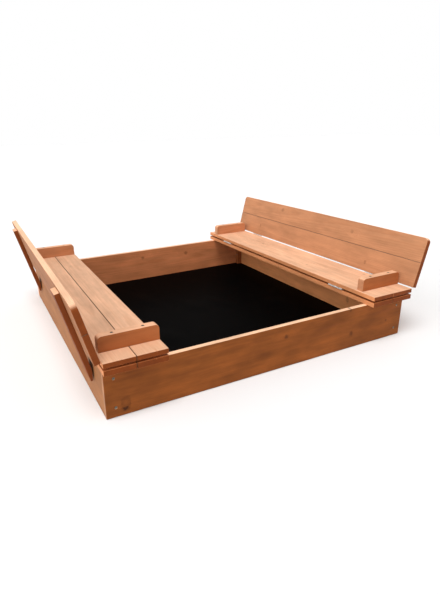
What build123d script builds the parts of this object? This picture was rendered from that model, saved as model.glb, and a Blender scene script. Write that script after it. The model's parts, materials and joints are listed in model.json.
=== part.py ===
from build123d import *
import os
from math import cos, radians, sin

# A square wooden sandbox whose two half covers fold back into benches.
# Millimetres. The origin is the middle of the footprint on the ground, +X is to the right,
# +Y to the rear and +Z up. The benches stand on the left and right sides, shown unfolded:
# each seat panel lies folded back on two fixed planks and each backrest leans outwards.

# ---------------------------------------------------------------- driving dimensions
box_width = 1210.0  # X, over the side boards
box_length = 1200.0  # Y, over the front and rear boards
board_height = 160.0
board_thickness = 18.0
post_size = 25.0
sheet_thickness = 1.0
sheet_margin = 2.0  # the ground sheet stops this far inside the outer faces

plank_length = 1264.0  # Y, every bench plank
bench_width = 197.0  # X, one fixed pair and one seat panel
bench_overhang = 4.0  # past the side board
fixed_thickness = 17.5
fixed_seam = 2.0
seat_thickness = 16.0
seat_seams = {"left": 2.0, "right": 0.5}
edge_round = 1.5

armrest_thickness = 28.0
armrest_height = 50.5
armrest_round = 14.0
armrest_length = 190.0
armrest_places = {"front": -551.0, "rear": 563.0}
armrest_middles = {  # distance of each armrest's middle from the centre line
    "left": {"front": 507.0, "rear": 509.0},
    "right": {"front": 515.0, "rear": 509.0},
}
armrest_screw_spread = 48.0  # each screw's distance from the armrest's middle

lean = 14.5  # degrees, the backrest off the vertical
back_thickness = 18.5
lower_back_height = 98.0
upper_back_height = 95.0
back_seam = 1.0
back_corner_rounds = {"left": 32.0, "right": 18.0}
brace_width = 58.0
brace_thickness = 16.0
brace_reach = 187.0  # up the backrest, from the hinge axis
brace_tail = 119.0  # down from the hinge axis
brace_places = {"front": -467.0, "rear": 460.0}
brace_clearance = 1.0  # the brace's foot is planed flat to pass this far outside the fixed planks

hinge_length = 76.0
hinge_gap = 7.0  # between the two wooden faces that a folded hinge lies between
hinge_place = 428.0
barrel_radius = 3.0
pin_radius = 1.5
pin_clearance = 0.05
pin_head_radius = 2.3
pin_head_thickness = 1.0
leaf_thickness = 1.2
leaf_start = 3.3  # from the hinge axis, clear of the other leaf's knuckles
leaf_reach = 15.0
knuckle_count = 5
knuckle_gap = 0.3
inner_hinge_offset = 1.0  # the inner hinge axis stands this far off the planks' edge

hole_clearance = 0.05
sides = {"left": -1, "right": 1}

# ---------------------------------------------------------------- derived places
side_face_x = box_width / 2
end_face_y = box_length / 2
floor_z = sheet_thickness
board_top = floor_z + board_height
fixed_top = board_top + fixed_thickness
seat_bottom = fixed_top + hinge_gap
seat_top = seat_bottom + seat_thickness
bench_outer_x = side_face_x + bench_overhang
bench_inner_x = bench_outer_x - bench_width
inner_axis_x = bench_inner_x - inner_hinge_offset
inner_axis_z = fixed_top + hinge_gap / 2
outer_axis_x = bench_outer_x + hinge_gap / 2
outer_axis_z = seat_top
post_x = side_face_x - board_thickness - post_size / 2
post_y = end_face_y - board_thickness - post_size / 2
lean_sin = sin(radians(lean))
lean_cos = cos(radians(lean))
# the room that the braces' feet are planed off to stay clear of
foot_room = Box(2 * (bench_outer_x + brace_clearance), plank_length, 2 * fixed_top)


# ---------------------------------------------------------------- fasteners
def wood_screw(head_radius, shank_radius, head_height, length, clearance=0.0):
    """A countersunk cross-head screw, its head flush with z = 0 and its point down.

    With a clearance it is the hole for that screw, open at the top.
    """
    tip_length = 3 * shank_radius
    with BuildPart() as screw:
        with BuildSketch(Plane.XZ):
            with BuildLine():
                Polyline(
                    (0, 0),
                    (head_radius + clearance, 0),
                    (shank_radius + clearance, -head_height),
                    (shank_radius + clearance, tip_length - length),
                    (0, -length - clearance),
                    close=True,
                )
            make_face()
        revolve(axis=Axis.Z)
        if clearance:
            with BuildSketch(Plane.XY):
                Circle(head_radius + clearance)
            extrude(amount=clearance * 10)
        else:
            with BuildSketch(Plane.XY):
                Rectangle(1.2 * head_radius, 0.25 * head_radius)
                Rectangle(0.25 * head_radius, 1.2 * head_radius)
            extrude(amount=-0.6 * head_height, mode=Mode.SUBTRACT)
    return screw.part


board_screw_size = (4.0, 2.0, 2.6, 40.0)
armrest_screw_size = (4.0, 2.0, 2.6, 62.0)
brace_screw_size = (3.8, 1.8, 2.4, 30.0)
leaf_screw_size = (2.9, 1.6, leaf_thickness, 14.0)

board_screw = wood_screw(*board_screw_size)
board_screw_hole = wood_screw(*board_screw_size, clearance=hole_clearance)
armrest_screw = wood_screw(*armrest_screw_size)
armrest_screw_hole = wood_screw(*armrest_screw_size, clearance=hole_clearance)
brace_screw = wood_screw(*brace_screw_size)
brace_screw_hole = wood_screw(*brace_screw_size, clearance=hole_clearance)
leaf_screw = wood_screw(*leaf_screw_size)
leaf_screw_hole = wood_screw(*leaf_screw_size, clearance=hole_clearance)


def facing(point, direction):
    """The place of a screw whose head is at the point and faces the direction."""
    return Location(Plane(origin=point, z_dir=direction))


# the boards' screws go through the front and rear boards into the posts, and from the posts'
# inner faces into the side boards, at heights that keep the two sets apart
post_screws = [
    facing((x * post_x, y * end_face_y, z), (0, y, 0))
    for x in (-1, 1)
    for y in (-1, 1)
    for z in (33, 130)
] + [
    facing((x * (post_x - post_size / 2), y * post_y, z), (-x, 0, 0))
    for x in (-1, 1)
    for y in (-1, 1)
    for z in (57, 105)
]
# each fixed plank has two screws into each end board, the outer one four into the side board
plank_end_screw_x = [bench_inner_x + along * bench_width for along in (0.13, 0.37, 0.63, 0.87)]
plank_side_screw_y = (-450, -150, 150, 450)
plank_screws = [
    facing((x * reach, y * (end_face_y - board_thickness / 2), fixed_top), (0, 0, 1))
    for x in (-1, 1)
    for y in (-1, 1)
    for reach in plank_end_screw_x
] + [
    facing((x * (side_face_x - board_thickness / 2), y, fixed_top), (0, 0, 1))
    for x in (-1, 1)
    for y in plank_side_screw_y
]

staple_width = 10.0
staple_wire = 0.8
staple_leg = 8.0
staples_per_edge = 6
staple_edge_y = end_face_y - board_thickness / 2
staple_edge_x = side_face_x - board_thickness / 2


def staple(clearance=0.0):
    """A staple with its crown on z = 0 along X and its legs up; with a clearance, its slot."""
    wire = staple_wire + 2 * clearance
    with BuildPart() as form:
        with BuildSketch(Plane.XY):
            Rectangle(staple_width + 2 * clearance, wire)
        extrude(amount=staple_wire + clearance)
        with BuildSketch(Plane.XY):
            with GridLocations(staple_width - staple_wire, 0, 2, 1):
                Rectangle(wire, wire)
        extrude(amount=staple_leg + clearance)
    return form.part


def staple_places():
    """Every staple, spaced evenly along the underside of each board."""
    places = []
    for index in range(staples_per_edge):
        along = (index + 0.5) / staples_per_edge - 0.5
        for sign in (-1, 1):
            places.append(Location((along * 1120, sign * staple_edge_y, 0)))
            places.append(Location((sign * staple_edge_x, along * 1080, 0), (0, 0, 90)))
    return places


sheet_staple = staple()
sheet_staple_slot = staple(clearance=hole_clearance)

os.makedirs("parts", exist_ok=True)


# ---------------------------------------------------------------- box
def timber(name, centre, size, cuts):
    """A straight board with eased edges and the holes or slots of its fasteners."""
    width, depth, height = size
    with BuildPart() as board:
        with BuildSketch(Plane(origin=(centre[0], centre[1], centre[2] - height / 2))):
            Rectangle(width, depth)
        extrude(amount=height)
        fillet(board.edges(), radius=edge_round)
        for form, places in cuts:
            with Locations(*places):
                add(form, mode=Mode.SUBTRACT)
    board.part.label = name
    export_step(board.part, f"parts/{name}.step")


box_cuts = [
    (board_screw_hole, post_screws + plank_screws),
    (sheet_staple_slot, staple_places()),
]
board_centre_z = floor_z + board_height / 2
end_board_y = end_face_y - board_thickness / 2
side_board_x = side_face_x - board_thickness / 2
side_board_length = box_length - 2 * board_thickness

for end, sign in (("front", -1), ("rear", 1)):
    timber(
        f"{end}_board",
        (0, sign * end_board_y, board_centre_z),
        (box_width, board_thickness, board_height),
        box_cuts,
    )
    for side, turn in sides.items():
        timber(
            f"{end}_{side}_post",
            (turn * post_x, sign * post_y, board_centre_z),
            (post_size, post_size, board_height),
            box_cuts,
        )
for side, turn in sides.items():
    timber(
        f"{side}_side_board",
        (turn * side_board_x, 0, board_centre_z),
        (board_thickness, side_board_length, board_height),
        box_cuts,
    )

# the woven sheet that the boards stand on and that keeps weeds out of the sand
with BuildPart() as ground_sheet:
    with BuildSketch(Plane.XY):
        Rectangle(box_width - 2 * sheet_margin, box_length - 2 * sheet_margin)
    extrude(amount=sheet_thickness)
    with Locations(*staple_places()):
        add(sheet_staple_slot, mode=Mode.SUBTRACT)
ground_sheet.part.label = "ground_sheet"
export_step(ground_sheet.part, "parts/ground_sheet.step")


def fasteners(name, form, places):
    """Many separate copies of one fastener in one node."""
    with BuildPart() as group:
        with Locations(*places):
            add(form)
    group.part.label = name
    export_step(group.part, f"parts/{name}.step")


fasteners("post_screws", board_screw, post_screws)
fasteners("fixed_plank_screws", board_screw, plank_screws)
fasteners("sheet_staples", sheet_staple, staple_places())


# ---------------------------------------------------------------- hinges
class HingeLeaf:
    """Where one hinge leaf lies: its axis, the way it reaches and the way off its wood."""

    def __init__(self, axis_x, axis_z, reach, away):
        self.axis = (axis_x, axis_z)
        self.reach = Vector(*reach)
        self.away = Vector(*away)

    def section(self, y):
        """The plane across the hinge at y, its X along the leaf and its Y off the wood."""
        axis_x, axis_z = self.axis
        return Plane(origin=(axis_x, y, axis_z), x_dir=self.reach, z_dir=self.reach.cross(self.away))

    def screw_places(self):
        """Three screws along the leaf, on both hinges of the pair."""
        face = hinge_gap / 2 - leaf_thickness
        middle = (leaf_start + leaf_reach) / 2
        return [
            Location(
                Plane(
                    origin=self.section(centre + step * hinge_length / 3).from_local_coords((middle, -face, 0)),
                    z_dir=self.away,
                )
            )
            for centre in (-hinge_place, hinge_place)
            for step in (-1, 0, 1)
        ]


def hinge_leaves(name, leaf, knuckles):
    """Both leaves of a hinge pair, each a flat plate with its share of the knuckles."""
    knuckle_pitch = hinge_length / knuckle_count
    plate_height = leaf_thickness / 2 - hinge_gap / 2
    with BuildPart() as leaves:
        for centre in (-hinge_place, hinge_place):
            with BuildSketch(leaf.section(centre)):
                with Locations(((leaf_start + leaf_reach) / 2, plate_height)):
                    Rectangle(leaf_reach - leaf_start, leaf_thickness)
            extrude(amount=hinge_length / 2, both=True)
            for number in knuckles:
                along = (number - (knuckle_count - 1) / 2) * knuckle_pitch
                with BuildSketch(leaf.section(centre + along)):
                    Circle(barrel_radius)
                    with Locations((leaf_reach / 2, plate_height)):
                        Rectangle(leaf_reach, leaf_thickness)
                extrude(amount=(knuckle_pitch - knuckle_gap) / 2, both=True)
            with BuildSketch(leaf.section(centre)):
                Circle(pin_radius + pin_clearance)
            extrude(amount=hinge_length, both=True, mode=Mode.SUBTRACT)
        with Locations(*leaf.screw_places()):
            add(leaf_screw_hole, mode=Mode.SUBTRACT)
    leaves.part.label = name
    export_step(leaves.part, f"parts/{name}.step")


def hinge_pins(name, leaf):
    """The two pins of a hinge pair, each with a thin head at both ends."""
    with BuildPart() as pins:
        for centre in (-hinge_place, hinge_place):
            with BuildSketch(leaf.section(centre)):
                Circle(pin_radius)
            extrude(amount=hinge_length / 2, both=True)
            for end in (-1, 1):
                head = centre + end * (hinge_length + pin_head_thickness) / 2
                with BuildSketch(leaf.section(head)):
                    Circle(pin_head_radius)
                extrude(amount=pin_head_thickness / 2, both=True)
    pins.part.label = name
    export_step(pins.part, f"parts/{name}.step")


end_knuckles = (0, 2, 4)
middle_knuckles = (1, 3)


# ---------------------------------------------------------------- benches
def plank_pair(bottom, thickness, seam, turn, names, cuts):
    """Two equal planks side by side, filling the bench's width but for the seam."""
    width = (bench_width - seam) / 2
    middles = (bench_inner_x + width / 2, bench_outer_x - width / 2)
    for name, middle in zip(names, middles):
        timber(
            name,
            (turn * middle, 0, bottom + thickness / 2),
            (width, plank_length, thickness),
            cuts,
        )


def armrest(name, x, y, screw_places):
    """A cleat across both seat planks, its two upper corners well rounded."""
    with BuildPart() as cleat:
        with BuildSketch(Plane.XZ.offset(-y)):
            with Locations((x, seat_top + armrest_height / 2)):
                Rectangle(armrest_length, armrest_height)
        extrude(amount=armrest_thickness / 2, both=True)
        top_corners = cleat.edges().filter_by(Axis.Y).group_by(Axis.Z)[-1]
        fillet(top_corners, radius=armrest_round)
        fillet(cleat.edges(), radius=edge_round)
        with Locations(*screw_places):
            add(armrest_screw_hole, mode=Mode.SUBTRACT)
    cleat.part.label = name
    export_step(cleat.part, f"parts/{name}.step")


def back_plane(turn, offset):
    """A plane along the leaning backrest, its Y up the backrest and its Z outwards."""
    axis_point = Vector(turn * outer_axis_x, 0, outer_axis_z)
    outwards = Vector(turn * lean_cos, 0, -lean_sin)
    return Plane(origin=axis_point + outwards * offset, x_dir=(0, turn, 0), z_dir=outwards)


def back_timber(name, turn, offset, thickness, centre, size, corner_round, cuts):
    """A piece of the backrest, drawn flat on its face; only the upper corners can be round."""
    with BuildPart() as board:
        with BuildSketch(back_plane(turn, offset)) as face:
            with Locations(centre):
                Rectangle(*size)
            if corner_round:
                fillet(face.vertices().group_by(Axis.Z)[-1], radius=corner_round)
        extrude(amount=thickness)
        fillet(board.edges(), radius=edge_round)
        for form, places in cuts:
            with Locations(*places):
                add(form, mode=Mode.SUBTRACT)
    board.part.label = name
    export_step(board.part, f"parts/{name}.step")


lower_back_start = hinge_gap / 2
upper_back_start = lower_back_start + lower_back_height + back_seam
# two screws in each backrest plank, set alternately left and right of the brace's middle
brace_screw_spots = ((-12, 26), (12, 78), (-12, 124), (12, 170))

fixed_leaf_screws = []
for side, turn in sides.items():
    fixed_leaf = HingeLeaf(turn * inner_axis_x, inner_axis_z, (turn, 0, 0), (0, 0, 1))
    seat_inner_leaf = HingeLeaf(turn * inner_axis_x, inner_axis_z, (turn, 0, 0), (0, 0, -1))
    seat_outer_leaf = HingeLeaf(turn * outer_axis_x, outer_axis_z, (0, 0, -1), (turn, 0, 0))
    back_leaf = HingeLeaf(
        turn * outer_axis_x,
        outer_axis_z,
        (turn * lean_cos, 0, -lean_sin),
        (-turn * lean_sin, 0, -lean_cos),
    )
    fixed_leaf_screws += fixed_leaf.screw_places()

    # the pair of planks that stays on the box
    plank_pair(
        board_top,
        fixed_thickness,
        fixed_seam,
        turn,
        (f"{side}_fixed_inner_plank", f"{side}_fixed_outer_plank"),
        [(board_screw_hole, plank_screws), (leaf_screw_hole, fixed_leaf.screw_places())],
    )
    hinge_leaves(f"{side}_inner_hinge_fixed_leaves", fixed_leaf, middle_knuckles)

    # the folding seat
    armrest_x = {end: turn * middle for end, middle in armrest_middles[side].items()}
    armrest_screws = {
        end: [
            facing((armrest_x[end] + spread, y, seat_top + armrest_height), (0, 0, 1))
            for spread in (-armrest_screw_spread, armrest_screw_spread)
        ]
        for end, y in armrest_places.items()
    }
    all_armrest_screws = armrest_screws["front"] + armrest_screws["rear"]
    seat_leaf_screws = seat_inner_leaf.screw_places() + seat_outer_leaf.screw_places()
    plank_pair(
        seat_bottom,
        seat_thickness,
        seat_seams[side],
        turn,
        (f"{side}_seat_inner_plank", f"{side}_seat_outer_plank"),
        [(armrest_screw_hole, all_armrest_screws), (leaf_screw_hole, seat_leaf_screws)],
    )
    for end, y in armrest_places.items():
        armrest(f"{side}_{end}_armrest", armrest_x[end], y, armrest_screws[end])
    fasteners(f"{side}_armrest_screws", armrest_screw, all_armrest_screws)
    hinge_leaves(f"{side}_inner_hinge_seat_leaves", seat_inner_leaf, end_knuckles)
    hinge_pins(f"{side}_inner_hinge_pins", seat_inner_leaf)
    hinge_leaves(f"{side}_outer_hinge_seat_leaves", seat_outer_leaf, end_knuckles)
    hinge_pins(f"{side}_outer_hinge_pins", seat_outer_leaf)
    fasteners(f"{side}_seat_leaf_screws", leaf_screw, seat_leaf_screws)

    # the folding backrest
    brace_face = back_plane(turn, back_thickness + brace_thickness)
    brace_screws = [
        Location(Plane(origin=brace_face.from_local_coords((y + shift, up, 0)), z_dir=brace_face.z_dir))
        for y in (turn * place for place in brace_places.values())
        for shift, up in brace_screw_spots
    ]
    back_leaf_screws = back_leaf.screw_places()
    back_cuts = [(brace_screw_hole, brace_screws), (leaf_screw_hole, back_leaf_screws)]
    back_timber(
        f"{side}_backrest_lower_plank",
        turn,
        0,
        back_thickness,
        (0, lower_back_start + lower_back_height / 2),
        (plank_length, lower_back_height),
        0,
        back_cuts,
    )
    back_timber(
        f"{side}_backrest_upper_plank",
        turn,
        0,
        back_thickness,
        (0, upper_back_start + upper_back_height / 2),
        (plank_length, upper_back_height),
        back_corner_rounds[side],
        back_cuts,
    )
    for end, place in brace_places.items():
        back_timber(
            f"{side}_{end}_brace",
            turn,
            back_thickness,
            brace_thickness,
            (turn * place, (brace_reach - brace_tail) / 2),
            (brace_width, brace_reach + brace_tail),
            0,
            [(brace_screw_hole, brace_screws), (foot_room, [(0, 0, 0)])],
        )
    fasteners(f"{side}_brace_screws", brace_screw, brace_screws)
    hinge_leaves(f"{side}_outer_hinge_backrest_leaves", back_leaf, middle_knuckles)
    fasteners(f"{side}_backrest_leaf_screws", leaf_screw, back_leaf_screws)

fasteners("fixed_leaf_screws", leaf_screw, fixed_leaf_screws)
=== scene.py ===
import json
from math import cos, pi, radians, sin

import bpy
from bpy.props import FloatProperty, FloatVectorProperty, PointerProperty
from bpy.types import Operator, Panel, PropertyGroup
from mathutils import Matrix, Vector


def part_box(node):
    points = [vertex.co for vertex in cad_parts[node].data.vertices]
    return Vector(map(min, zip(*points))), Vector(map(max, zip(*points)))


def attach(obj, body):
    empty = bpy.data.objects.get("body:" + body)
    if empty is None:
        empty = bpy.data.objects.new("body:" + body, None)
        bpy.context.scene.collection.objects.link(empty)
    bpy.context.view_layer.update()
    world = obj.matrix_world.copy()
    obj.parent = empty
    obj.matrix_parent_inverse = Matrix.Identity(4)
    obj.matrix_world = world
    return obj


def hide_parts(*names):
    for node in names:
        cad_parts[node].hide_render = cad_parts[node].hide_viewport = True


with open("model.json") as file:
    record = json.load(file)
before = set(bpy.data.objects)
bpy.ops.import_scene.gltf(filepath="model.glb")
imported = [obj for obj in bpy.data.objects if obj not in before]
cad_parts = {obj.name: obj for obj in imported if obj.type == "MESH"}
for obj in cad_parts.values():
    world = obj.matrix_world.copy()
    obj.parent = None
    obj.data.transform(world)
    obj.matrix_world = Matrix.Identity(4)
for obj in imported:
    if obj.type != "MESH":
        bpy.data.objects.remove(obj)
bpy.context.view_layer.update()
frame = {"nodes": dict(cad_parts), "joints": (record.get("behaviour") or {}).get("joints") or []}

bl_info = {
    "name": "Folding Bench Sandbox",
    "version": (1, 0, 0),
    "blender": (4, 5, 0),
    "location": "View3D > Sidebar > Sandbox",
    "description": "Finishes a square wooden sandbox whose cover folds back into two benches",
    "category": "Object",
}

MM = 0.001
SIDES = {"left": -1, "right": 1}
ENDS = {"front": -1, "rear": 1}
UP = Vector((0, 0, 1))
ACROSS = Vector((1, 0, 0))
ALONG = Vector((0, 1, 0))
OWN_WIDE = Vector((1, 0, 0))  # a board's own axes, before it is laid in its place
OWN_GRAIN = Vector((0, 0, 1))
UNTINTED = (1, 1, 1)


# ---------------------------------------------------------------- colours and nodes
def linear(hex_colour):
    """An sRGB hex colour as linear red, green and blue."""
    parts = [int(hex_colour[i : i + 2], 16) / 255 for i in (1, 3, 5)]
    return tuple(c / 12.92 if c <= 0.04045 else ((c + 0.055) / 1.055) ** 2.4 for c in parts)


def add_node(tree, kind, inputs=(), **settings):
    """Adds a node, sets its properties and fills its sockets with values or other outputs."""
    node = tree.nodes.new(kind)
    for name, value in settings.items():
        setattr(node, name, value)
    for key, value in dict(inputs).items():
        socket = node.inputs[key]
        if isinstance(value, bpy.types.NodeSocket):
            tree.links.new(value, socket)
        else:
            socket.default_value = value
    return node


def new_material(name):
    """A named material with an empty tree but for its shader and output."""
    material = bpy.data.materials.new(name)
    material.use_nodes = True
    tree = material.node_tree
    tree.nodes.clear()
    shader = add_node(tree, "ShaderNodeBsdfPrincipled")
    add_node(tree, "ShaderNodeOutputMaterial", {"Surface": shader.outputs["BSDF"]})
    return material, tree, shader


def set_ramp(ramp, stops):
    """Gives a colour ramp its stops, each a position and a linear colour or a grey."""
    elements = ramp.color_ramp.elements
    while len(elements) > 1:
        elements.remove(elements[-1])
    for index, (position, colour) in enumerate(stops):
        element = elements[0] if index == 0 else elements.new(position)
        element.position = position
        element.color = (*colour, 1) if isinstance(colour, tuple) else (colour, colour, colour, 1)


# ---------------------------------------------------------------- settings
def stain(name, description, hex_colour):
    """A colour setting for one finish of the timber."""
    return FloatVectorProperty(
        name=name, description=description, subtype="COLOR", min=0, max=1, default=linear(hex_colour)
    )


class SANDBOX_PG_wood(PropertyGroup):
    """Colours and cut of the timber."""

    board_colour: stain("Box boards", "Stain on the faces of the box boards", "#81471C")
    # painted light: the lighter copy of the board stain that faces looking up get, for the light falling on
    # them from above
    board_top_colour: stain("Box board tops", "Sun-bleached stain on the boards' upper edges", "#EFC3A0")
    pale_board_colour: stain("Pale box board", "Stain on the board that took less of it", "#9A6842")
    plank_colour: stain("Plank edges", "Stain on the edges and undersides of the bench planks", "#CF8A5C")
    # painted light: the lighter copy of the plank stain that faces looking up get, for the light falling on
    # them from above
    plank_top_colour: stain("Plank tops", "Sun-bleached stain on top of the bench planks", "#E1B18F")
    back_colour: stain("Backrests", "Stain on the faces of the backrests", "#B47E5A")
    # painted light: the lighter copy of the backrest stain that faces looking up get, for the light falling
    # on them from above
    back_top_colour: stain("Backrest tops", "Sun-bleached stain on the backrests' upper edges", "#E8B896")
    cleat_colour: stain("Cleats", "Stain on the faces of the armrests, braces and posts", "#A15E35")
    # painted light: the lighter copy of the cleat stain that faces looking up get, for the light falling on
    # them from above
    cleat_top_colour: stain("Cleat tops", "Sun-bleached stain on top of the armrests", "#E6B28E")
    end_colour: stain("End grain", "Stain where the end grain has drunk it deep", "#7A3B13")
    knot_colour: stain("Knots", "Colour of the heart of a knot", "#40220F")
    ring_width: FloatProperty(
        name="Ring width",
        description="Width of one year's growth ring",
        subtype="DISTANCE", unit="LENGTH", min=0.001, max=0.02, default=4.2 * MM,
    )
    arris: FloatProperty(
        name="Eased edge",
        description="Radius to which the edges of the planks are rounded over",
        subtype="DISTANCE", unit="LENGTH", min=0.0005, max=0.006, default=1.3 * MM,
    )


class SANDBOX_PG_metal(PropertyGroup):
    """Colours of the fittings."""

    zinc_colour: FloatVectorProperty(
        name="Zinc plate",
        description="Colour of the plated hinges",
        subtype="COLOR", min=0, max=1, default=linear("#F2F1EE"),
    )
    screw_colour: FloatVectorProperty(
        name="Screws",
        description="Colour of the yellow-passivated screws and staples",
        subtype="COLOR", min=0, max=1, default=linear("#76766A"),
    )


class SANDBOX_PG_sheet(PropertyGroup):
    """The woven ground sheet."""

    thread_colour: FloatVectorProperty(
        name="Thread",
        description="Colour of the black polypropylene tape that the sheet is woven from",
        subtype="COLOR", min=0, max=1, default=linear("#020202"),
    )
    tape_width: FloatProperty(
        name="Tape width",
        description="Width of one woven tape",
        subtype="DISTANCE", unit="LENGTH", min=0.001, max=0.01, default=2.5 * MM,
    )
    wrinkle_height: FloatProperty(
        name="Wrinkle height",
        description="How high the loose sheet's wrinkles stand off the ground",
        subtype="DISTANCE", unit="LENGTH", min=0, max=0.01, default=4.0 * MM,
    )


class SANDBOX_PG_stage(PropertyGroup):
    """The pale studio floor and its soft light."""

    floor_colour: FloatVectorProperty(
        name="Floor",
        description="Colour of the seamless studio floor",
        subtype="COLOR", min=0, max=1, default=linear("#ECECEC"),
    )
    key_strength: FloatProperty(
        name="Key light",
        description="Strength of the broad light from high overhead, a little to the front left",
        min=0, max=20, default=2.1,
    )
    key_softness: FloatProperty(
        name="Key softness",
        description="How wide the key light looks from the object",
        subtype="ANGLE", unit="ROTATION", min=0, max=3, default=radians(30),
    )
    wall_strength: FloatProperty(
        name="Walls",
        description="Brightness of the white walls all round",
        min=0, max=4, default=1.0,
    )
    ceiling_strength: FloatProperty(
        name="Ceiling",
        description="Brightness of the ceiling overhead",
        min=0, max=4, default=0.35,
    )
    screen_strength: FloatProperty(
        name="Screen",
        description="Brightness added by the broad screen low on the left",
        min=0, max=10, default=1.8,
    )
    lens: FloatProperty(
        name="Lens",
        description="Focal length of the camera",
        subtype="DISTANCE_CAMERA", unit="CAMERA", min=10, max=200, default=27.87,
    )


SETTINGS = {
    "sandbox_wood": SANDBOX_PG_wood,
    "sandbox_metal": SANDBOX_PG_metal,
    "sandbox_sheet": SANDBOX_PG_sheet,
    "sandbox_stage": SANDBOX_PG_stage,
}


# ---------------------------------------------------------------- timber
JOINT_GAP = 0.4 * MM  # each plank of a pair is this much wider towards the other
CORNER_STEPS = 10
ARRIS_STEPS = 3
WARP_HEIGHT = 0.9 * MM
WARP_WAVE = 160 * MM
WARP_STEP_ALONG = 45 * MM
WARP_STEP_ACROSS = 33 * MM
SEAT_LEEWAY = 0.2 * MM  # the room between a screw's head and its seat
SEAT_FLARE = 1.6 * MM  # how much wider than the head its seat opens
SEAT_DEPTH = 4 * MM


class Timber:
    """One board: the CAD node it stands for, the way it was cut and where it lies.

    Its own axes are x, the wide way, y, the thin way, and z, along the grain. A knot is its
    place across and along the board, its radius and how dark its heart and its rim are; a
    check is a drying crack, its place across and along, its length, width and depth. Shade
    multiplies the colour of its sides: painted light and shade, lighter or darker for how the
    light reaches them beside its fellows', with some of the board's own stain in it. Mottle is
    how unevenly they took the stain. pale_ends is how far its ends take the lighter top colour,
    painted light on end grain that faces the light, instead of the deep stain. A covered board
    lies under another, and its top is painted with the faces' colour, painted shade, instead of
    the painted top light. A planed board is cut off where it would cross the given plane.
    """

    def __init__(
        self, node, body, grain, flat, tone, seed, knots=(), checks=(), corner=0.0, joint=0,
        shade=UNTINTED, mottle=1.0, pale_ends=0.0, covered=False, planed=None,
        slot="bench_plank_wood",
    ):
        self.node = node
        self.body = body
        self.tone = tone
        self.seed = seed
        self.knots = knots
        self.checks = checks
        self.corner = corner
        self.joint = joint
        self.shade = shade
        self.mottle = mottle
        self.pale_ends = pale_ends
        self.covered = covered
        self.planed = planed
        self.slot = slot
        length_way = grain.normalized()
        thin_way = flat.normalized()
        wide_way = thin_way.cross(length_way)
        self.turn = Matrix((wide_way, thin_way, length_way)).transposed()
        own = [self.turn.transposed() @ v.co for v in frame["nodes"][node].data.vertices]
        low = Vector([min(p[i] for p in own) for i in range(3)])
        high = Vector([max(p[i] for p in own) for i in range(3)])
        self.size = high - low
        self.centre = self.turn @ ((low + high) / 2)

        # a plank of a pair takes up part of the seam between them
        if joint:
            self.size.x += JOINT_GAP
            self.centre += self.turn @ Vector((joint * JOINT_GAP / 2, 0, 0))

    def placement(self):
        """From the board's own axes to the shared frame."""
        return Matrix.Translation(self.centre) @ self.turn.to_4x4()


def choose(*objects):
    """Makes these objects the only ones selected, the first of them active."""
    bpy.ops.object.select_all(action="DESELECT")
    for obj in objects:
        obj.select_set(True)
    bpy.context.view_layer.objects.active = objects[0]


def open_mesh(obj):
    """Enters edit mode on one object with nothing of it selected."""
    choose(obj)
    bpy.ops.object.mode_set(mode="EDIT")
    bpy.ops.mesh.select_mode(type="EDGE")
    bpy.ops.mesh.select_all(action="DESELECT")


def close_mesh():
    """Leaves edit mode, which writes the mesh back."""
    bpy.ops.object.mode_set(mode="OBJECT")


def pick_edges(obj, test):
    """Selects the edges whose two ends pass the test."""
    close_mesh()
    mesh = obj.data
    for edge in mesh.edges:
        edge.select = test(*[mesh.vertices[i].co for i in edge.vertices])
    bpy.ops.object.mode_set(mode="EDIT")


def cut_across(length, spacing, normal):
    """Cuts the open mesh at even places along one of its axes."""
    cuts = max(2, round(length / spacing))
    for index in range(1, cuts):
        bpy.ops.mesh.select_all(action="SELECT")
        bpy.ops.mesh.bisect(plane_co=normal * (length * (index / cuts - 0.5)), plane_no=normal)


def shape_board(timber, arris):
    """Saws a board to size and rounds over its edges, then lays it in its place."""
    bpy.ops.object.select_all(action="DESELECT")
    bpy.ops.mesh.primitive_cube_add(size=1)
    board = bpy.context.object
    board.name = f"{timber.node}_timber"
    board.data.name = board.name
    board.scale = timber.size
    bpy.ops.object.transform_apply(location=False, rotation=False, scale=True)
    half_wide, half_thin, half_long = timber.size / 2

    open_mesh(board)
    if timber.corner:
        side_on = half_wide * 0.99
        pick_edges(board, lambda a, b: abs(a.y - b.y) > half_thin and min(a.x, b.x) > side_on)
        bpy.ops.mesh.bevel(offset=timber.corner, segments=CORNER_STEPS, affect="EDGES")
        bpy.ops.mesh.select_all(action="DESELECT")
    bpy.ops.mesh.edges_select_sharp(sharpness=radians(40))
    bpy.ops.mesh.bevel(offset=arris, segments=ARRIS_STEPS, affect="EDGES")
    # the cuts give the board vertices to warp at
    cut_across(timber.size.z, WARP_STEP_ALONG, OWN_GRAIN)
    cut_across(timber.size.x, WARP_STEP_ACROSS, OWN_WIDE)
    close_mesh()

    board.matrix_world = timber.placement()
    choose(board)
    bpy.ops.object.transform_apply(location=True, rotation=True, scale=True)
    if timber.planed:
        place, way = timber.planed
        open_mesh(board)
        bpy.ops.mesh.select_all(action="SELECT")
        bpy.ops.mesh.bisect(plane_co=place, plane_no=way, use_fill=True, clear_inner=True)
        bpy.ops.mesh.mark_sharp()
        close_mesh()
    return board


def apply_modifier(obj, name, kind, **settings):
    """Adds a modifier, sets it and applies it."""
    choose(obj)
    modifier = obj.modifiers.new(name, kind)
    for setting, value in settings.items():
        setattr(modifier, setting, value)
    bpy.ops.object.modifier_apply(modifier=modifier.name)


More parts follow.
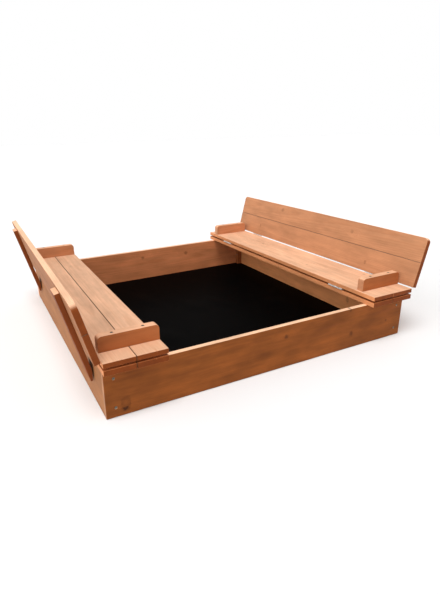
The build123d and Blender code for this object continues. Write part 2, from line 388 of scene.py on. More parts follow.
def screw_heads():
    """The middle, facing and radius of every wood screw's head, read from the CAD screws."""
    heads = []
    for name, obj in frame["nodes"].items():
        if not name.endswith("screws") or "leaf" in name:
            continue
        loose = obj.copy()
        loose.data = obj.data.copy()
        bpy.context.scene.collection.objects.link(loose)
        loose.hide_set(False)
        choose(loose)
        bpy.ops.object.mode_set(mode="EDIT")
        bpy.ops.mesh.select_all(action="SELECT")
        bpy.ops.mesh.remove_doubles(threshold=0.00001)
        bpy.ops.mesh.separate(type="LOOSE")
        close_mesh()
        for screw in list(bpy.context.selected_objects):
            points = [v.co for v in screw.data.vertices]
            middle = sum(points, Vector()) / len(points)
            point = max(points, key=lambda p: (p - middle).length)
            whole = max((p - point).length for p in points)
            head_side = [p for p in points if (p - point).length > 0.9 * whole]
            head = sum(head_side, Vector()) / len(head_side)
            way = (head - point).normalized()
            top = max((p - point).dot(way) for p in points)
            head = point + way * top
            radius = max(((p - point) - way * (p - point).dot(way)).length for p in points)
            heads.append((head, way, radius))
            bpy.data.objects.remove(screw, do_unlink=True)
    return heads


SCREW_HEADS = []


def cutters_for(timber):
    """Shapes to cut from a board: a seat round each screw head, and its drying checks."""
    to_own = timber.placement().inverted()
    half = timber.size / 2
    cutters = []
    for head, way, radius in SCREW_HEADS:
        place = to_own @ head
        if any(abs(place[i]) > half[i] + SEAT_LEEWAY for i in range(3)):
            continue
        bpy.ops.object.select_all(action="DESELECT")
        bpy.ops.mesh.primitive_cone_add(
            vertices=28, radius1=radius + SEAT_LEEWAY, radius2=radius + SEAT_FLARE, depth=SEAT_DEPTH
        )
        seat = bpy.context.object
        seat.matrix_world = Matrix.Translation(head) @ way.to_track_quat("Z", "Y").to_matrix().to_4x4()
        cutters.append(seat)
    for wide, long, length, width, depth in timber.checks:
        bpy.ops.object.select_all(action="DESELECT")
        bpy.ops.mesh.primitive_cone_add(vertices=4, radius1=1, radius2=0, depth=2)
        crack = bpy.context.object
        # the square cone lies base up along the board, its point down in the wood
        crack.matrix_world = (
            timber.placement()
            @ Matrix.Translation((wide, -half.y, long))
            @ Matrix.Rotation(radians(-90), 4, "X")
            @ Matrix.Diagonal((width, length, depth, 1))
        )
        cutters.append(crack)
    return cutters


def cut_details(board, timber):
    """Cuts the screw seats and drying checks with one joined tool."""
    cutters = cutters_for(timber)
    if not cutters:
        return
    choose(*cutters)
    bpy.ops.object.transform_apply(location=True, rotation=True, scale=True)
    if len(cutters) > 1:
        bpy.ops.object.join()
    tool = bpy.context.object
    apply_modifier(board, "details", "BOOLEAN", operation="DIFFERENCE", object=tool, solver="EXACT")
    bpy.data.objects.remove(tool, do_unlink=True)


# a pattern's scale is one over the width of what it draws, in metres
WANDER_SCALE = 7.0  # 140 mm: how far the rings run before they bend
KNOT_SCALE = 48.0  # 21 mm: the lumps in a knot's outline
FIBRE_SCALE = 420.0  # 2.4 mm: fibres, drawn far coarser than real ones so that they show
STREAK_SCALE = 42.0  # 24 mm: streaks of stain along the board
BLOTCH_SCALE = 14.0  # 71 mm: patches where the stain took unevenly
RING_CONTRAST = 0.40
END_RING_CONTRAST = 0.45
STREAK_CONTRAST = 0.10
BLOTCH_CONTRAST = 0.13
FIBRE_CONTRAST = 0.05
LATE_WOOD = (0.80, 0.66, 0.55)  # the dark half of a year's growth, beside the pale half
# painted shade of the seam between two planks: the wood beside it is darkened
JOINT_SHADE = 0.40  # how much light the wood in a joint still gives back
JOINT_SHADE_WIDTH = 2.0 * MM
JOINT_SHADE_FULL = 0.6 * MM  # full this far from the edge


def shaded(colour, shade):
    """A linear colour multiplied channel by channel."""
    return tuple(min(1.0, c * k) for c, k in zip(colour, shade))


def colour_socket(mix):
    """The colour result of a Mix node, which has one result for each kind of data."""
    return next(s for s in mix.outputs if s.type == "RGBA")


def knot_pattern(tree, own, timber, heart_wide, heart_deep, radius):
    """The rings' radius swollen round the knots, and how much the knots' hearts and rims show.

    Each knot is a branch that runs out from the heart of the trunk. The bark round it has
    been worn away in places.
    """
    grit = add_node(tree, "ShaderNodeTexNoise", {"Vector": own, "Scale": KNOT_SCALE, "Detail": 2.0})
    bark_left = add_node(
        tree, "ShaderNodeMapRange",
        {"Value": grit.outputs["Fac"], "From Min": 0.42, "From Max": 0.6, "To Min": 0.2, "To Max": 1.0},
    ).outputs["Result"]
    hearts = []
    rims = []
    for wide, long, knot_radius, heart_depth, rim_depth in timber.knots:
        branch = Vector((wide - heart_wide, -heart_deep, 0)).normalized()
        # the noise that makes its outline ragged is centred on a half
        swing = knot_radius * 1.3
        offset = add_node(
            tree, "ShaderNodeVectorMath",
            {0: own, 1: (wide + swing / 2, swing / 2, long + swing / 2)},
            operation="SUBTRACT",
        ).outputs[0]
        ragged = add_node(
            tree, "ShaderNodeVectorMath",
            {0: grit.outputs["Color"], 1: (swing, swing, swing), 2: offset},
            operation="MULTIPLY_ADD",
        ).outputs[0]
        aside = add_node(
            tree, "ShaderNodeVectorMath", {0: ragged, 1: branch}, operation="CROSS_PRODUCT"
        ).outputs[0]
        reach = add_node(tree, "ShaderNodeVectorMath", {0: aside}, operation="LENGTH").outputs["Value"]
        flow = add_node(
            tree, "ShaderNodeVectorMath", {0: aside, 1: (0.4, 0.4, 1)}, operation="MULTIPLY"
        ).outputs[0]
        flow_reach = add_node(
            tree, "ShaderNodeVectorMath", {0: flow}, operation="LENGTH"
        ).outputs["Value"]
        swell = add_node(
            tree, "ShaderNodeMapRange",
            {
                "Value": flow_reach, "From Min": 0.0, "From Max": knot_radius * 3.2,
                "To Min": knot_radius * 2.4, "To Max": 0.0,
            },
            interpolation_type="SMOOTHERSTEP",
        ).outputs["Result"]
        radius = add_node(tree, "ShaderNodeMath", {0: radius, 1: swell}, operation="ADD").outputs[0]
        heart = add_node(
            tree, "ShaderNodeMapRange",
            {
                "Value": reach, "From Min": knot_radius * 0.35, "From Max": knot_radius * 1.15,
                "To Min": heart_depth, "To Max": 0.0,
            },
            interpolation_type="SMOOTHSTEP",
        ).outputs["Result"]
        off_rim = add_node(
            tree, "ShaderNodeMath", {0: reach, 1: knot_radius * 0.85}, operation="SUBTRACT"
        ).outputs[0]
        away = add_node(tree, "ShaderNodeMath", {0: off_rim}, operation="ABSOLUTE").outputs[0]
        rim = add_node(
            tree, "ShaderNodeMapRange",
            {
                "Value": away, "From Min": 0.0, "From Max": knot_radius * 0.7,
                "To Min": rim_depth, "To Max": 0.0,
            },
            interpolation_type="SMOOTHSTEP",
        ).outputs["Result"]
        hearts.append(heart)
        rims.append(rim)
    darkest = []
    for shares in (hearts, rims):
        most = shares[0]
        for share in shares[1:]:
            most = add_node(tree, "ShaderNodeMath", {0: most, 1: share}, operation="MAXIMUM").outputs[0]
        darkest.append(most)
    heart_share, rim_share = darkest
    rim_share = add_node(
        tree, "ShaderNodeMath", {0: rim_share, 1: bark_left}, operation="MULTIPLY"
    ).outputs[0]
    return radius, heart_share, rim_share


def timber_material(timber, wood):
    """Spruce, planed and stained with a thin reddish glaze that has weathered a little.

    The growth rings run through the whole board, so faces, edges and end grain agree. What
    looks up is painted lighter, for the light that falls on it from above, and the sides keep the
    darker colour as painted shade; the end grain has drunk the stain; the wood beside a joint is
    painted darker, for the shade in the seam.
    """
    # painted light and shade: the board's shade multiplier makes its sides lighter or darker for how the
    # light reaches them, with some of its own stain
    face = shaded(getattr(wood, f"{timber.tone}_colour"), timber.shade)
    top_name = {"pale_board": "board"}.get(timber.tone, timber.tone)
    # painted light: up-facing faces get the lighter top colour; a covered plank's top gets the cleats'
    # darker face colour instead, painted shade in the gap under the seat
    painted_top_colour = tuple(wood.cleat_colour if timber.covered else getattr(wood, f"{top_name}_top_colour"))
    # pale ends take the lighter top colour, painted light on end grain that faces the light
    end_grain = painted_top_colour if timber.pale_ends else tuple(wood.end_colour)
    material, tree, shader = new_material(f"stained spruce {timber.node}")
    seed = timber.seed
    half = timber.size / 2

    where = add_node(tree, "ShaderNodeTexCoord")
    own = add_node(
        tree, "ShaderNodeMapping",
        {"Vector": where.outputs["Object"], "Location": timber.centre, "Rotation": timber.turn.to_euler()},
        vector_type="TEXTURE",
    ).outputs[0]

    # the heart of the trunk lies beside the board and wanders along it
    heart_wide = sin(seed * 2.3) * 0.35 * timber.size.x
    heart_deep = (0.045 + 0.05 * (0.5 + 0.5 * cos(seed * 1.7))) * (1 if seed % 2 else -1)
    stretched = add_node(
        tree, "ShaderNodeVectorMath",
        {0: own, 1: (1.0, 1.0, 0.12), 2: (seed * 1.37, seed * 0.71, seed * 2.11)},
        operation="MULTIPLY_ADD",
    ).outputs[0]
    drift = add_node(tree, "ShaderNodeTexNoise", {"Vector": stretched, "Scale": WANDER_SCALE, "Detail": 2.0})
    from_heart = add_node(
        tree, "ShaderNodeMapping",
        {
            "Vector": own,
            "Location": (-heart_wide - 0.010, -heart_deep - 0.010, 0),
            "Rotation": (0.012 * sin(seed), 0.02 * cos(seed * 3.1), 0),
        },
        vector_type="POINT",
    )
    wandered = add_node(
        tree, "ShaderNodeVectorMath",
        {0: drift.outputs["Color"], 1: (0.022, 0.022, 0.0), 2: from_heart.outputs[0]},
        operation="MULTIPLY_ADD",
    )
    flat_radius = add_node(
        tree, "ShaderNodeVectorMath", {0: wandered.outputs[0], 1: (1, 1, 0)}, operation="MULTIPLY"
    )
    radius = add_node(
        tree, "ShaderNodeVectorMath", {0: flat_radius.outputs[0]}, operation="LENGTH"
    ).outputs["Value"]

    if timber.knots:
        radius, knot_heart, knot_rim = knot_pattern(tree, own, timber, heart_wide, heart_deep, radius)

    turns = add_node(tree, "ShaderNodeMath", {0: radius, 1: wood.ring_width}, operation="DIVIDE").outputs[0]
    year = add_node(tree, "ShaderNodeMath", {0: turns}, operation="FRACT").outputs[0]
    ring = add_node(tree, "ShaderNodeValToRGB", {"Fac": year})
    set_ramp(ring, [(0.0, 0.1), (0.4, 0.15), (0.75, 0.7), (0.88, 1.0), (0.97, 0.25), (1.0, 0.1)])

    # fine fibres, longer streaks along the board, and blotches where the stain took unevenly
    fibre_way = add_node(
        tree, "ShaderNodeVectorMath",
        {0: own, 1: (1.0, 1.0, 0.03), 2: (seed * 0.31, 0, seed * 0.17)},
        operation="MULTIPLY_ADD",
    ).outputs[0]
    fibre = add_node(
        tree, "ShaderNodeTexNoise",
        {"Vector": fibre_way, "Scale": FIBRE_SCALE, "Detail": 3.0, "Roughness": 0.6},
    ).outputs["Fac"]
    streak = add_node(
        tree, "ShaderNodeTexNoise",
        {"Vector": stretched, "Scale": STREAK_SCALE, "Detail": 4.0, "Roughness": 0.6},
    ).outputs["Fac"]
    blotch_way = add_node(
        tree, "ShaderNodeVectorMath",
        {0: own, 1: (1.0, 1.0, 0.45), 2: (seed * 0.91, seed * 0.33, 0)},
        operation="MULTIPLY_ADD",
    ).outputs[0]
    blotch = add_node(
        tree, "ShaderNodeTexNoise",
        {"Vector": blotch_way, "Scale": BLOTCH_SCALE, "Detail": 3.0, "Roughness": 0.55},
    ).outputs["Fac"]

    # the colour: face, or top with painted light, then end grain, then rings, streaks and blotches
    parts = add_node(tree, "ShaderNodeSeparateXYZ", {0: where.outputs["Normal"]})
    # painted light: the more a face looks up, the more of the lighter top colour it takes
    looks_up = add_node(
        tree, "ShaderNodeMapRange",
        {"Value": parts.outputs["Z"], "From Min": 0.35, "From Max": 0.85, "To Min": 0.0, "To Max": 1.0},
        interpolation_type="SMOOTHSTEP",
    ).outputs["Result"]
    colour = colour_socket(
        add_node(
            tree, "ShaderNodeMix",
            {"Factor": looks_up, "A": (*face, 1), "B": (*painted_top_colour, 1)}, data_type="RGBA",
        )
    )
    along = add_node(
        tree, "ShaderNodeVectorMath",
        {0: where.outputs["Normal"], 1: timber.turn.col[2]}, operation="DOT_PRODUCT",
    ).outputs["Value"]
    along = add_node(tree, "ShaderNodeMath", {0: along}, operation="ABSOLUTE").outputs[0]
    end_on = add_node(
        tree, "ShaderNodeMapRange",
        {
            "Value": along, "From Min": 0.55, "From Max": 0.95,
            "To Min": 0.0, "To Max": timber.pale_ends or 1.0,
        },
        interpolation_type="SMOOTHSTEP",
    ).outputs["Result"]
    in_shade = add_node(tree, "ShaderNodeMath", {0: 1.0, 1: looks_up}, operation="SUBTRACT").outputs[0]
    end_on = add_node(tree, "ShaderNodeMath", {0: end_on, 1: in_shade}, operation="MULTIPLY").outputs[0]
    colour = colour_socket(
        add_node(
            tree, "ShaderNodeMix", {"Factor": end_on, "A": colour, "B": (*end_grain, 1)}, data_type="RGBA"
        )
    )
    late = add_node(
        tree, "ShaderNodeVectorMath", {0: colour, 1: LATE_WOOD}, operation="MULTIPLY"
    ).outputs[0]
    ring_depth = add_node(
        tree, "ShaderNodeMath",
        {0: end_on, 1: END_RING_CONTRAST, 2: RING_CONTRAST}, operation="MULTIPLY_ADD",
    ).outputs[0]
    ring_share = add_node(
        tree, "ShaderNodeMath", {0: ring.outputs["Color"], 1: ring_depth}, operation="MULTIPLY"
    ).outputs[0]
    colour = colour_socket(
        add_node(tree, "ShaderNodeMix", {"Factor": ring_share, "A": colour, "B": late}, data_type="RGBA")
    )
    streaked = STREAK_CONTRAST * timber.mottle
    blotched = BLOTCH_CONTRAST * timber.mottle
    streak_share = add_node(
        tree, "ShaderNodeMapRange",
        {"Value": streak, "From Min": 0.3, "From Max": 0.7, "To Min": 1 - streaked, "To Max": 1 + streaked},
    ).outputs["Result"]
    blotch_share = add_node(
        tree, "ShaderNodeMapRange",
        {"Value": blotch, "From Min": 0.3, "From Max": 0.7, "To Min": 1 - blotched, "To Max": 1 + blotched},
    ).outputs["Result"]
    fibre_share = add_node(
        tree, "ShaderNodeMapRange",
        {
            "Value": fibre, "From Min": 0.3, "From Max": 0.7,
            "To Min": 1 - FIBRE_CONTRAST, "To Max": 1 + FIBRE_CONTRAST,
        },
    ).outputs["Result"]
    depth = streak_share
    for share in (fibre_share, blotch_share):
        depth = add_node(tree, "ShaderNodeMath", {0: depth, 1: share}, operation="MULTIPLY").outputs[0]

    # painted shade of the seam with the next board: the wood darkens towards the joint
    if timber.joint:
        sides = add_node(tree, "ShaderNodeSeparateXYZ", {0: own})
        seam_shade = add_node(
            tree, "ShaderNodeMapRange",
            {
                "Value": sides.outputs["X"],
                "From Min": timber.joint * (half.x - JOINT_SHADE_WIDTH),
                "From Max": timber.joint * (half.x - JOINT_SHADE_FULL),
                "To Min": 1.0, "To Max": JOINT_SHADE,
            },
        ).outputs["Result"]
        depth = add_node(tree, "ShaderNodeMath", {0: depth, 1: seam_shade}, operation="MULTIPLY").outputs[0]
    colour = add_node(
        tree, "ShaderNodeVectorMath", {0: colour, "Scale": depth}, operation="SCALE"
    ).outputs[0]

    if timber.knots:
        bark = shaded(wood.knot_colour, (0.5, 0.5, 0.5))
        for share, dark in ((knot_heart, wood.knot_colour), (knot_rim, bark)):
            colour = colour_socket(
                add_node(
                    tree, "ShaderNodeMix", {"Factor": share, "A": colour, "B": (*dark, 1)}, data_type="RGBA"
                )
            )
    tree.links.new(colour, shader.inputs["Base Color"])

    gloss = add_node(
        tree, "ShaderNodeMapRange",
        {"Value": ring.outputs["Color"], "From Min": 0.0, "From Max": 1.0, "To Min": 0.66, "To Max": 0.54},
    ).outputs["Result"]
    tree.links.new(gloss, shader.inputs["Roughness"])
    shader.inputs["IOR"].default_value = 1.5
    shader.inputs["Specular IOR Level"].default_value = 0.12
    relief = add_node(
        tree, "ShaderNodeMath", {0: ring.outputs["Color"], 1: 0.5, 2: fibre}, operation="MULTIPLY_ADD"
    ).outputs[0]
    bump = add_node(tree, "ShaderNodeBump", {"Height": relief, "Strength": 0.4, "Distance": 0.3 * MM})
    tree.links.new(bump.outputs["Normal"], shader.inputs["Normal"])
    return material


def make_board(*cut, **details):
    """One finished board in place of its CAD node."""
    timber = Timber(*cut, **details)
    wood = bpy.context.scene.sandbox_wood
    if not SCREW_HEADS:
        SCREW_HEADS.extend(screw_heads())
    board = shape_board(timber, wood.arris)
    drying = bpy.data.textures.get("drying") or bpy.data.textures.new("drying", "CLOUDS")
    drying.noise_scale = WARP_WAVE
    apply_modifier(
        board, "warp", "DISPLACE",
        texture=drying, texture_coords="LOCAL", mid_level=0.5, strength=WARP_HEIGHT,
    )
    cut_details(board, timber)
    choose(board)
    bpy.ops.object.shade_smooth_by_angle(angle=radians(35))
    apply_modifier(board, "flat faces", "WEIGHTED_NORMAL", keep_sharp=True, weight=80)
    board.data.materials.clear()
    board.data.materials.append(timber_material(timber, wood))
    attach(board, timber.body)
    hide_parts(timber.node)
    return board


# ---------------------------------------------------------------- operators
FAINT = (0.22, 0.30)  # how dark a small sound knot's heart and rim are


class SANDBOX_OT_box(Operator):
    """Saw the four boards and the corner posts of the box"""

    bl_idname = "sandbox.box"
    bl_label = "Box"

    def execute(self, context):
        front_knots = (
            (0.036, 0.040, 0.010, 0.65, 0.1), (-0.031, 0.346, 0.010, 0.6, 0.1),
            (-0.052, -0.544, 0.013, 0.15, 0.85),
            (-0.010, 0.524, 0.004, 0.5, 0.3), (0.080, 0.333, 0.005, 0.6, 0.3),
        )
        rear_knots = ((0.030, 0.224, 0.009, 0.4, 0.2), (0.036, -0.041, 0.009, 0.4, 0.2))
        # the front and rear boards' pale ends are painted light on the end grain that faces the light
        make_board(
            "front_board", "box", ACROSS, -ALONG, "board", 3, knots=front_knots,
            mottle=1.9, pale_ends=0.28, slot="box_board_wood",
        )
        make_board(
            # the rear board's shade is painted light: its sides made much lighter, for the light that hardly
            # reaches into the box
            "rear_board", "box", ACROSS, -ALONG, "board", 4, knots=rear_knots,
            shade=(3.05, 3.8, 8.4), pale_ends=0.28, slot="box_board_wood",
        )
        side_knots = ((0.02, 0.21, 0.008, *FAINT), (-0.04, -0.33, 0.007, *FAINT))
        # the right board's shade is painted light: its sides made lighter, for the light shut out under the
        # bench above its inner face
        shades = {"left": UNTINTED, "right": (2.3, 2.2, 2.2)}
        for number, side in enumerate(SIDES):
            make_board(
                f"{side}_side_board", "box", ALONG, ACROSS, "pale_board", 5 + number,
                knots=side_knots, shade=shades[side], slot="box_board_wood",
            )
            for step, end in enumerate(ENDS):
                make_board(
                    f"{end}_{side}_post", "box", UP, ALONG, "cleat", 11 + 2 * number + step,
                    slot="post_wood",
                )
        return {"FINISHED"}


class SANDBOX_OT_planks(Operator):
    """Saw the fixed planks and the seat planks of both benches"""

    bl_idname = "sandbox.planks"
    bl_label = "Fixed and seat planks"

    def execute(self, context):
        knots = {
            "right_seat_outer_plank": ((-0.036, 0.24, 0.005, *FAINT), (0.02, -0.41, 0.005, *FAINT)),
            "right_seat_inner_plank": ((0.012, -0.18, 0.005, *FAINT),),
            "left_seat_inner_plank": ((-0.02, 0.35, 0.005, *FAINT),),
            "right_fixed_inner_plank": ((-0.045, -0.05, 0.007, *FAINT),),
            "left_fixed_outer_plank": ((0.01, 0.1, 0.008, *FAINT),),
        }
        end = 0.632
        checks = {
            "left_seat_inner_plank": ((0.012, -end, 0.05, 0.0012, 0.006),),
            "left_seat_outer_plank": ((-0.02, end, 0.06, 0.0012, 0.006), (0.0, -end, 0.03, 0.001, 0.004)),
            "right_seat_inner_plank": ((-0.018, -end, 0.045, 0.0012, 0.005),),
            "right_seat_outer_plank": ((0.02, end, 0.06, 0.0012, 0.006),),
            "left_fixed_inner_plank": ((0.01, -end, 0.07, 0.0013, 0.007),),
            "right_fixed_outer_plank": ((0.0, -end, 0.05, 0.0012, 0.006),),
        }
        seed = 20
        for side, turn in SIDES.items():
            for layer, body in (("fixed", "box"), ("seat", f"{side}_seat")):
                for row in ("inner", "outer"):
                    node = f"{side}_{layer}_{row}_plank"
                    joint = turn if row == "inner" else -turn
                    if node.startswith("right_seat"):
                        joint = 0
                    # the fixed planks are covered: their tops get painted shade instead of the painted top
                    # light
                    make_board(
                        node, body, ALONG, -UP, "plank", seed,
                        knots=knots.get(node, ()), checks=checks.get(node, ()), joint=joint,
                        covered=layer == "fixed",
                    )
                    seed += 1
        return {"FINISHED"}


class SANDBOX_OT_armrests(Operator):
    """Saw the armrest cleats with their rounded upper corners"""

    bl_idname = "sandbox.armrests"
    bl_label = "Armrests"

    def execute(self, context):
        # painted light: the rear armrests' sides made lighter than the front ones'; the pale ends are
        # painted light on end grain that faces the light
        shades = {"front": UNTINTED, "rear": (1.6, 2.15, 3.2)}
        seed = 40
        for side in SIDES:
            for end in ENDS:
                make_board(
                    f"{side}_{end}_armrest", f"{side}_seat", ACROSS, -ALONG, "cleat", seed,
                    corner=14 * MM, shade=shades[end], pale_ends=0.35, slot="cleat_wood",
                )
                seed += 1
        return {"FINISHED"}


class SANDBOX_OT_backrests(Operator):
    """Saw the leaning backrest planks and the braces behind them"""

    bl_idname = "sandbox.backrests"
    bl_label = "Backrests"

    def execute(self, context):
        fold = next(j for j in frame["joints"] if j["name"] == "right_backrest_fold")
        lean = radians(90 - fold["range_deg"][1])
        knots = {
            "right_backrest_upper_plank": (
                (0.022, 0.255, 0.008, *FAINT), (0.004, -0.257, 0.008, *FAINT)
            ),
            "right_backrest_lower_plank": (
                (-0.008, -0.374, 0.006, *FAINT), (0.01, 0.42, 0.006, *FAINT)
            ),
            "left_backrest_upper_plank": ((0.01, 0.3, 0.008, *FAINT),),
        }
        corners = {"left": 32 * MM, "right": 18 * MM}
        # painted shade: the left backrest's sides made darker, for its rear face leaning down away from the
        # light
        shades = {"left": (0.73, 0.66, 0.55), "right": UNTINTED}
        # the braces' feet pass just outside the fixed planks
        clearance = 1.0 * MM
        foot_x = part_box("right_fixed_outer_plank")[1].x + clearance
        seed = 50
        for side, turn in SIDES.items():
            outwards = Vector((turn * cos(lean), 0, -sin(lean)))
            upwards = Vector((turn * sin(lean), 0, cos(lean)))
            body = f"{side}_backrest"
            for row in ("lower", "upper"):
                node = f"{side}_backrest_{row}_plank"
                make_board(
                    node, body, upwards.cross(outwards), outwards, "back", seed,
                    knots=knots.get(node, ()), corner=corners[side] if row == "upper" else 0.0,
                    joint=-1 if row == "upper" else 1, shade=shades[side],
                )
                seed += 1
            for end in ENDS:
                # painted shade: the braces' sides made much darker than the other cleats'
                make_board(
                    f"{side}_{end}_brace", body, upwards, outwards, "cleat", seed,
                    shade=(0.56, 0.44, 0.31), planed=((turn * foot_x, 0, 0), (turn, 0, 0)),
                    slot="cleat_wood",
                )
                seed += 1
        return {"FINISHED"}


CLOUD_SCALE = 90.0  # 11 mm: clouds in the plate
SCRATCH_SCALE = 900.0  # 1.1 mm: scratches, drawn coarser than real ones so that they show


def plated_material(name, colour, roughness, grain):
    """Zinc-plated steel with faint clouding and fine scratches from the tumbling drum."""
    material, tree, shader = new_material(name)
    where = add_node(tree, "ShaderNodeTexCoord").outputs["Object"]
    cloud = add_node(
        tree, "ShaderNodeTexNoise", {"Vector": where, "Scale": CLOUD_SCALE, "Detail": 4.0}
    ).outputs["Fac"]
    scratch_way = add_node(
        tree, "ShaderNodeVectorMath", {0: where, 1: grain}, operation="MULTIPLY"
    ).outputs[0]
    scratch = add_node(
        tree, "ShaderNodeTexNoise", {"Vector": scratch_way, "Scale": SCRATCH_SCALE, "Detail": 2.0}
    ).outputs["Fac"]
    tint = add_node(tree, "ShaderNodeValToRGB", {"Fac": cloud})
    dull = tuple(c * 0.72 for c in colour)
    set_ramp(tint, [(0.3, dull), (0.7, tuple(colour))])
    tree.links.new(tint.outputs["Color"], shader.inputs["Base Color"])
    rough = add_node(
        tree, "ShaderNodeMapRange",
        {
            "Value": scratch, "From Min": 0.3, "From Max": 0.7,
            "To Min": roughness - 0.1, "To Max": roughness + 0.12,
        },
    ).outputs["Result"]
    tree.links.new(rough, shader.inputs["Roughness"])
    shader.inputs["Metallic"].default_value = 0.75
    bump = add_node(tree, "ShaderNodeBump", {"Height": scratch, "Strength": 0.2, "Distance": 0.1 * MM})
    tree.links.new(bump.outputs["Normal"], shader.inputs["Normal"])
    return material


class SANDBOX_OT_fittings(Operator):
    """Finish the hinges, pins, screws and staples"""

    bl_idname = "sandbox.fittings"
    bl_label = "Hinges and screws"

    def execute(self, context):
        metal = context.scene.sandbox_metal
        zinc = plated_material("zinc plated steel", metal.zinc_colour, 0.32, (1, 0.05, 1))
        screw = plated_material("yellow zinc screw steel", metal.screw_colour, 0.42, (1, 1, 1))
        for name, obj in frame["nodes"].items():
            if "leaves" in name or name.endswith("pins"):
                finish = zinc
            elif "screws" in name or "staples" in name:
                finish = screw
            else:
                continue
            obj.data.materials.clear()
            obj.data.materials.append(finish)
        return {"FINISHED"}


class SANDBOX_OT_ground_sheet(Operator):
    """Lay the woven sheet under the box"""

    bl_idname = "sandbox.ground_sheet"
    bl_label = "Ground sheet"

    def execute(self, context):
        settings = context.scene.sandbox_sheet
        low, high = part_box("ground_sheet")
        width, length = high.x - low.x, high.y - low.y
        bpy.ops.object.select_all(action="DESELECT")
        cells = 150
        bpy.ops.mesh.primitive_grid_add(
            x_subdivisions=cells, y_subdivisions=cells, size=1, location=(0, 0, 0)
        )
        sheet = bpy.context.object
        sheet.name = "ground_sheet_cloth"
        sheet.scale = (width, length, 1)
        bpy.ops.object.transform_apply(location=False, rotation=False, scale=True)
        # the sheet lies loose inside the boards and is pinched flat beneath and just inside them
        margin = 30 * MM
        run = 100 * MM
        inner_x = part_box("right_side_board")[0].x - margin
        inner_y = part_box("rear_board")[0].y - margin
        for vertex in sheet.data.vertices:
            x, y = vertex.co.x, vertex.co.y
            slack = 1.0
            for room in (inner_x - abs(x), inner_y - abs(y)):
                slack *= max(0.0, min(1.0, room / run))
            wave = (
                sin(9 * x + 5 * y + 2 * sin(4 * y))
                + 0.6 * sin(-13 * x + 17 * y + 1.3)
                + 0.35 * sin(31 * x + 11 * y + 3 * sin(6 * x))
            )
            ridge = max(0.0, wave / 1.95) ** 2
            vertex.co.z = 0.1 * MM + slack * ridge * settings.wrinkle_height
        bpy.context.view_layer.objects.active = sheet
        thick = sheet.modifiers.new("thickness", "SOLIDIFY")
        thick.thickness = 0.6 * MM
        thick.offset = 1
        bpy.ops.object.modifier_apply(modifier=thick.name)
        bpy.ops.object.shade_smooth()
        sheet.data.materials.clear()
        sheet.data.materials.append(self.woven_material(settings))
        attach(sheet, "box")
        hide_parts("ground_sheet")
        return {"FINISHED"}

    def woven_material(self, settings):
        """Black polypropylene tape fabric: flat shiny tapes over and under each other."""
        material, tree, shader = new_material("woven polypropylene sheet")
        where = add_node(tree, "ShaderNodeTexCoord").outputs["Object"]
        count = 1 / settings.tape_width
        checks = add_node(tree, "ShaderNodeTexChecker", {"Vector": where, "Scale": count})
        # the tapes are worn in patches about 17 mm wide
        fray = add_node(
            tree, "ShaderNodeTexNoise", {"Vector": where, "Scale": 60.0, "Detail": 4.0}
        ).outputs["Fac"]
        tint = add_node(tree, "ShaderNodeValToRGB", {"Fac": fray})
        thread = tuple(settings.thread_colour)
        set_ramp(tint, [(0.3, tuple(c * 0.6 for c in thread)), (0.75, tuple(c * 1.5 for c in thread))])
        tree.links.new(tint.outputs["Color"], shader.inputs["Base Color"])
        rough = add_node(
            tree, "ShaderNodeMapRange",
            {"Value": checks.outputs["Fac"], "To Min": 0.5, "To Max": 0.7},
        ).outputs["Result"]
        tree.links.new(rough, shader.inputs["Roughness"])
        shader.inputs["Specular IOR Level"].default_value = 0.02
        bump = add_node(
            tree, "ShaderNodeBump", {"Height": checks.outputs["Fac"], "Strength": 0.3, "Distance": 0.2 * MM}
        )
        tree.links.new(bump.outputs["Normal"], shader.inputs["Normal"])
        return material


KEY_WAY = Vector((-0.22, -0.25, 0.94))  # towards the key light
SCREEN_WAY = Vector((-0.96, -0.18, 0.2))  # towards the screen
CAMERA_PLACE = Vector((-0.8731, -1.7431, 0.8151))
CAMERA_TURN = radians(-26.94)
CAMERA_TILT = radians(-19.65)
CAMERA_ROLL = radians(-1.02)
CAMERA_SHIFT = (0.0344, -0.0160)
WALL_TOP = radians(16)  # the walls end and the ceiling begins between these heights
CEILING_START = radians(32)


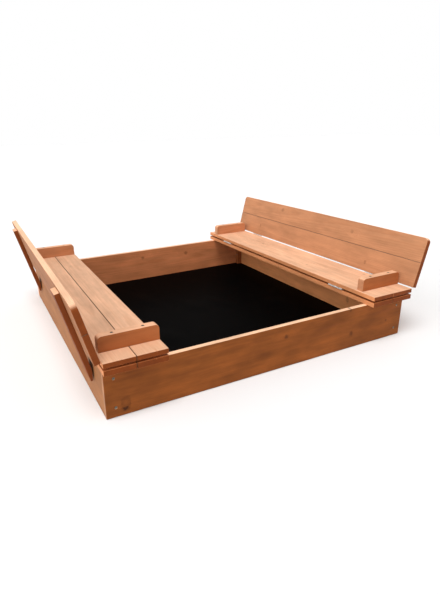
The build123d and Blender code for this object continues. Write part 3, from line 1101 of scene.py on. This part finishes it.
class SANDBOX_OT_stage(Operator):
    """Set the pale floor, the soft light and the camera"""

    bl_idname = "sandbox.stage"
    bl_label = "Stage"

    def execute(self, context):
        scene = context.scene
        settings = scene.sandbox_stage
        bpy.ops.object.select_all(action="DESELECT")
        bpy.ops.mesh.primitive_plane_add(size=40, location=(0, 0, -0.0005))
        floor = bpy.context.object
        floor.name = "studio_floor"
        material, tree, shader = new_material("studio paper")
        where = add_node(tree, "ShaderNodeTexCoord").outputs["Object"]
        mottle = add_node(tree, "ShaderNodeTexNoise", {"Vector": where, "Scale": 3.0}).outputs["Fac"]
        tint = add_node(tree, "ShaderNodeValToRGB", {"Fac": mottle})
        colour = tuple(settings.floor_colour)
        set_ramp(tint, [(0.0, tuple(c * 0.99 for c in colour)), (1.0, colour)])
        tree.links.new(tint.outputs["Color"], shader.inputs["Base Color"])
        shader.inputs["Roughness"].default_value = 0.9
        floor.data.materials.append(material)

        key = bpy.data.lights.new("key light", "SUN")
        key.energy = settings.key_strength
        key.angle = settings.key_softness
        lamp = bpy.data.objects.new("key light", key)
        scene.collection.objects.link(lamp)
        lamp.rotation_euler = KEY_WAY.to_track_quat("Z", "Y").to_euler()

        # white walls up to the edge of a duller ceiling
        world = bpy.data.worlds.new("studio room")
        world.use_nodes = True
        air = world.node_tree
        way = add_node(air, "ShaderNodeTexCoord").outputs["Generated"]
        height = add_node(air, "ShaderNodeSeparateXYZ", {0: way}).outputs["Z"]
        glow = add_node(
            air, "ShaderNodeMapRange",
            {
                "Value": height, "From Min": sin(WALL_TOP), "From Max": sin(CEILING_START),
                "To Min": settings.wall_strength, "To Max": settings.ceiling_strength,
            },
            interpolation_type="SMOOTHSTEP",
        ).outputs["Result"]
        # a broad white screen low on the left, in front of the long side
        screen = add_node(
            air, "ShaderNodeVectorMath", {0: way, 1: SCREEN_WAY}, operation="DOT_PRODUCT"
        ).outputs["Value"]
        screen = add_node(
            air, "ShaderNodeMapRange",
            {
                "Value": screen, "From Min": 0.55, "From Max": 0.95,
                "To Min": 0.0, "To Max": settings.screen_strength,
            },
            interpolation_type="SMOOTHSTEP",
        ).outputs["Result"]
        glow = add_node(air, "ShaderNodeMath", {0: glow, 1: screen}, operation="ADD").outputs[0]
        background = air.nodes["Background"]
        background.inputs["Color"].default_value = (1, 1, 1, 1)
        air.links.new(glow, background.inputs["Strength"])
        scene.world = world
        scene.view_settings.view_transform = "Standard"

        camera = bpy.data.cameras.new("camera")
        camera.sensor_width = 36
        camera.lens = settings.lens
        camera.shift_x, camera.shift_y = CAMERA_SHIFT
        rig = bpy.data.objects.new("camera", camera)
        scene.collection.objects.link(rig)
        rig.matrix_world = (
            Matrix.Translation(CAMERA_PLACE)
            @ Matrix.Rotation(CAMERA_TURN, 4, "Z")
            @ Matrix.Rotation(radians(90) + CAMERA_TILT, 4, "X")
            @ Matrix.Rotation(CAMERA_ROLL, 4, "Z")
        )
        scene.camera = rig
        return {"FINISHED"}


class SANDBOX_PT_panel(Panel):
    """The sandbox's pieces in the 3D view's sidebar"""

    bl_idname = "SANDBOX_PT_panel"
    bl_label = "Folding Bench Sandbox"
    bl_space_type = "VIEW_3D"
    bl_region_type = "UI"
    bl_category = "Sandbox"

    def draw(self, context):
        for group in SETTINGS:
            settings = getattr(context.scene, group)
            box = self.layout.box()
            for name in settings.bl_rna.properties.keys():
                if name not in ("rna_type", "name"):
                    box.prop(settings, name)
        for step in STEPS:
            self.layout.operator(step.bl_idname)


STEPS = (
    SANDBOX_OT_box,
    SANDBOX_OT_planks,
    SANDBOX_OT_armrests,
    SANDBOX_OT_backrests,
    SANDBOX_OT_fittings,
    SANDBOX_OT_ground_sheet,
    SANDBOX_OT_stage,
)
CLASSES = (*SETTINGS.values(), *STEPS, SANDBOX_PT_panel)


def register():
    for cls in CLASSES:
        bpy.utils.register_class(cls)
    for name, group in SETTINGS.items():
        setattr(bpy.types.Scene, name, PointerProperty(type=group))


def unregister():
    for name in SETTINGS:
        delattr(bpy.types.Scene, name)
    for cls in reversed(CLASSES):
        bpy.utils.unregister_class(cls)


def main():
    register()
    bpy.ops.sandbox.box()
    bpy.ops.sandbox.planks()
    bpy.ops.sandbox.armrests()
    bpy.ops.sandbox.backrests()
    bpy.ops.sandbox.fittings()
    bpy.ops.sandbox.ground_sheet()
    bpy.ops.sandbox.stage()


if __name__ == "__main__":
    main()
